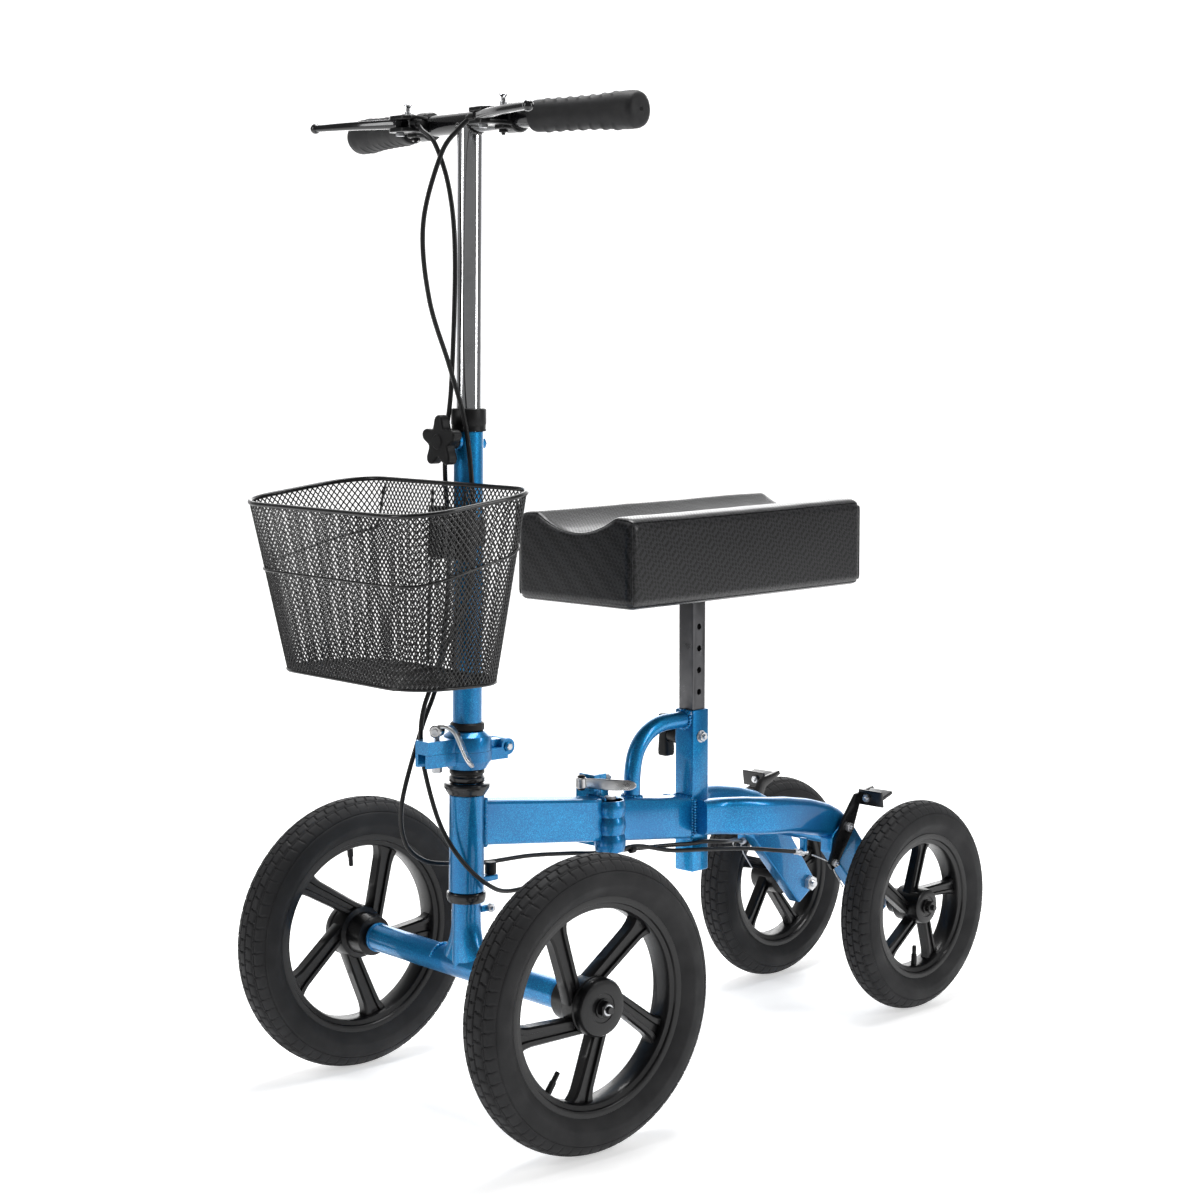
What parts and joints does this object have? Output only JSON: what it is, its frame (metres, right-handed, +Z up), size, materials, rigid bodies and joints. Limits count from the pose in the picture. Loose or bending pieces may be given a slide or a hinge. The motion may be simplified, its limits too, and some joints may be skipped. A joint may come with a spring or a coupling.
{
  "type": "knee scooter",
  "caption": "Four-wheeled folding knee scooter with a padded knee rest, height-adjustable handlebar, front basket and rear hand brakes.",
  "frame": {"origin": "on the ground, at the centre of the bounding box", "axes": "+X to the rider's left, -Y forwards, +Z up"},
  "size_m": [0.4708, 0.9585, 1.0645],
  "materials": {
    "blue_paint": "metallic blue paint",
    "black_steel": "black powder coat",
    "black_plastic": "satin black moulding",
    "zinc": "zinc plated steel",
    "chrome": "polished",
    "rubber": "matt black rubber",
    "tyre": "matt black tyre rubber",
    "vinyl": "black textured vinyl",
    "post_steel": "dark plated steel"
  },
  "bodies": {
    "rear_frame": {"rear_beam": "blue_paint", "seat_tube": "blue_paint", "support_tube": "blue_paint", "rear_arm_left": "blue_paint", "rear_arm_right": "blue_paint", "rear_cross_tube": "blue_paint", "frame_joint_rear": "blue_paint", "frame_hinge_pin": "zinc", "rear_axle_left": "zinc", "rear_axle_right": "zinc", "brake_pivot_bolt_left": "zinc", "brake_pivot_bolt_right": "zinc"},
    "seat": {"seat_post": "post_steel", "pad_plate": "black_steel", "knee_pad": "vinyl"},
    "seat_knob": {"seat_knob": "black_plastic"},
    "brake_arm_left": {"brake_arm_left": "black_steel"},
    "brake_arm_right": {"brake_arm_right": "black_steel"},
    "front_frame": {"front_beam": "blue_paint", "frame_joint_front": "blue_paint", "frame_clamp_skewer": "zinc", "head_tube": "blue_paint", "headset_upper_cup": "black_steel", "headset_lower_cup": "black_steel", "brake_cable_left": "black_plastic", "brake_cable_right": "black_plastic"},
    "frame_clamp_lever": {"frame_clamp_lever": "chrome"},
    "fork": {"fork": "blue_paint", "front_axle": "zinc", "headset_locknut": "black_steel", "fold_casting_lower": "blue_paint", "fold_pin": "zinc"},
    "stem": {"fold_casting_upper": "blue_paint", "stem_tube": "blue_paint", "stem_collar": "black_plastic", "stem_clamp_skewer": "zinc", "basket_bracket": "black_plastic"},
    "stem_clamp_lever": {"stem_clamp_lever": "chrome"},
    "stem_knob": {"stem_knob": "black_plastic"},
    "basket": {"basket": "black_steel"},
    "handlebar": {"handlebar_post": "chrome", "handlebar": "black_steel", "grip_left": "rubber", "grip_right": "rubber", "lever_bracket_left": "black_steel", "lever_bracket_right": "black_steel"},
    "brake_lever_left": {"brake_lever_left": "black_steel"},
    "brake_lever_right": {"brake_lever_right": "black_steel"},
    "parking_pin_left": {"parking_pin_left": "zinc"},
    "parking_pin_right": {"parking_pin_right": "zinc"},
    "wheel_front_left": {"tyre_front_left": "tyre", "rim_front_left": "black_plastic"},
    "wheel_front_right": {"tyre_front_right": "tyre", "rim_front_right": "black_plastic"},
    "wheel_rear_left": {"tyre_rear_left": "tyre", "rim_rear_left": "black_plastic"},
    "wheel_rear_right": {"tyre_rear_right": "tyre", "rim_rear_right": "black_plastic"}
  },
  "joints": [
    {"name": "seat_height", "type": "slide", "parent": "rear_frame", "child": "seat", "axis": [0, 0, -1], "range_m": [-0.0508, 0.127]},
    {"name": "seat_knob_turn", "type": "hinge", "parent": "rear_frame", "child": "seat_knob", "pos_m": [-0.014, 0.0705, 0.353], "axis": [-1, 0, 0], "range_deg": [0, 720]},
    {"name": "brake_arm_left_swing", "type": "hinge", "parent": "rear_frame", "child": "brake_arm_left", "pos_m": [0.0745, 0.267, 0.23], "axis": [-1, 0, 0], "range_deg": [0, 16]},
    {"name": "brake_arm_right_swing", "type": "hinge", "parent": "rear_frame", "child": "brake_arm_right", "pos_m": [-0.0745, 0.267, 0.23], "axis": [-1, 0, 0], "range_deg": [0, 16]},
    {"name": "frame_fold", "type": "hinge", "parent": "rear_frame", "child": "front_frame", "pos_m": [0.012, -0.0795, 0.276], "axis": [0, 0, 1], "range_deg": [0, 95]},
    {"name": "frame_clamp", "type": "hinge", "parent": "front_frame", "child": "frame_clamp_lever", "pos_m": [-0.015, -0.0975, 0.3215], "axis": [0, 0, -1], "range_deg": [0, 80]},
    {"name": "steering", "type": "hinge", "parent": "front_frame", "child": "fork", "pos_m": [0, -0.2899, 0], "axis": [0, -0.0129, -0.9999], "range_deg": [-39.57, 30.43], "deforming": ["brake_cable_left", "brake_cable_right"]},
    {"name": "stem_fold", "type": "hinge", "parent": "fork", "child": "stem", "pos_m": [0.00366, -0.23908, 0.38398], "axis": [-0.9968, 0.0797, -0.001], "range_deg": [0, 28]},
    {"name": "stem_clamp", "type": "hinge", "parent": "stem", "child": "stem_clamp_lever", "pos_m": [-0.00319, -0.3245, 0.40848], "axis": [0.4915, -0.8708, 0.0112], "range_deg": [0, 110]},
    {"name": "stem_knob_turn", "type": "hinge", "parent": "stem", "child": "stem_knob", "pos_m": [-0.00239, -0.31062, 0.71103], "axis": [-0.0797, -0.9967, 0.0129], "continuous": true},
    {"name": "basket_lift", "type": "slide", "parent": "stem", "child": "basket", "axis": [0, 0.0129, 0.9999], "range_m": [0, 0.02]},
    {"name": "handlebar_height", "type": "slide", "parent": "stem", "child": "handlebar", "axis": [0, 0.0129, 0.9999], "range_m": [-0.2, 0]},
    {"name": "brake_lever_left_squeeze", "type": "hinge", "parent": "handlebar", "child": "brake_lever_left", "pos_m": [0.06675, -0.31991, 1.04147], "axis": [0, 0.0129, 0.9999], "range_deg": [0, 16], "stiffness_Nm_per_rad": 0.8, "springref_deg": -11.46},
    {"name": "brake_lever_right_squeeze", "type": "hinge", "parent": "handlebar", "child": "brake_lever_right", "pos_m": [-0.0728, -0.30875, 1.04133], "axis": [0, -0.0129, -0.9999], "range_deg": [0, 16], "stiffness_Nm_per_rad": 0.8, "springref_deg": -11.46},
    {"name": "parking_pin_left_press", "type": "slide", "parent": "handlebar", "child": "parking_pin_left", "axis": [0, -0.0129, -0.9999], "range_m": [0, 0.004], "stiffness_N_per_m": 300, "springref_m": -0.004},
    {"name": "parking_pin_right_press", "type": "slide", "parent": "handlebar", "child": "parking_pin_right", "axis": [0, -0.0129, -0.9999], "range_m": [0, 0.004], "stiffness_N_per_m": 300, "springref_m": -0.004},
    {"name": "wheel_front_left_spin", "type": "hinge", "parent": "fork", "child": "wheel_front_left", "pos_m": [0.19857, -0.3038, 0.15269], "axis": [0.9968, -0.0797, 0.001], "continuous": true},
    {"name": "wheel_front_right_spin", "type": "hinge", "parent": "fork", "child": "wheel_front_right", "pos_m": [-0.19857, -0.27206, 0.15228], "axis": [0.9968, -0.0797, 0.001], "continuous": true},
    {"name": "wheel_rear_left_spin", "type": "hinge", "parent": "rear_frame", "child": "wheel_rear_left", "pos_m": [0.1122, 0.352, 0.1273], "axis": [1, 0, 0], "continuous": true},
    {"name": "wheel_rear_right_spin", "type": "hinge", "parent": "rear_frame", "child": "wheel_rear_right", "pos_m": [-0.1122, 0.352, 0.1273], "axis": [1, 0, 0], "continuous": true}
  ],
  "couplings": [
    {"joint": "brake_arm_left_swing", "follows": "brake_lever_left_squeeze", "ratio": 1},
    {"joint": "brake_arm_right_swing", "follows": "brake_lever_right_squeeze", "ratio": 1}
  ]
}
